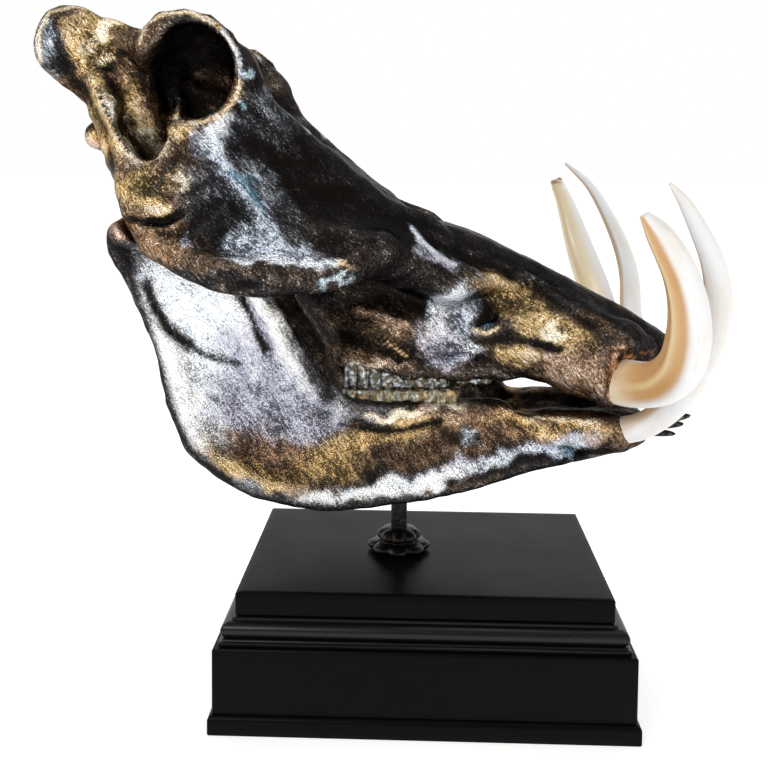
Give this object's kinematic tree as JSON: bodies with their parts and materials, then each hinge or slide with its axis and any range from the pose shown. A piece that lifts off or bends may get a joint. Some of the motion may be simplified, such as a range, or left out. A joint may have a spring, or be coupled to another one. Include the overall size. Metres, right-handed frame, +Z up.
{
  "type": "warthog skull",
  "caption": "Tusked warthog skull with a dark iridescent metallic finish, held by a metal post on a stepped black wooden plinth, for display.",
  "frame": {"origin": "centre of the plinth's flat underside", "axes": "+X towards the snout, +Z up, -Y the animal's right side; the skull is symmetric about the XZ plane apart from its tusks"},
  "size_m": [0.3643, 0.3031, 0.3848],
  "materials": {
    "metallic_bone": "iridescent metallic coat, gunmetal with gold and blue-violet areas",
    "ivory": "polished cream ivory",
    "dark_enamel": "metallic coat, worn",
    "black_wood": "satin black paint",
    "dark_metal": "dark satin"
  },
  "bodies": {
    "root": {"plinth_foot": "black_wood", "plinth_body": "black_wood", "plinth_moulding": "black_wood", "plinth_top": "black_wood", "post": "dark_metal", "post_collar": "dark_metal", "cranium": "metallic_bone", "mandible": "metallic_bone", "upper_tusk_right": "ivory", "upper_tusk_left": "ivory", "lower_tusk_right": "ivory", "lower_tusk_left": "ivory", "upper_molar_right": "dark_enamel", "upper_molar_left": "dark_enamel", "upper_premolar_right": "dark_enamel", "upper_premolar_left": "dark_enamel", "lower_molar_right": "dark_enamel", "lower_molar_left": "dark_enamel", "lower_incisor_right_1": "dark_enamel", "lower_incisor_right_2": "dark_enamel", "lower_incisor_right_3": "dark_enamel", "lower_incisor_left_1": "dark_enamel", "lower_incisor_left_2": "dark_enamel", "lower_incisor_left_3": "dark_enamel"}
  },
  "joints": []
}
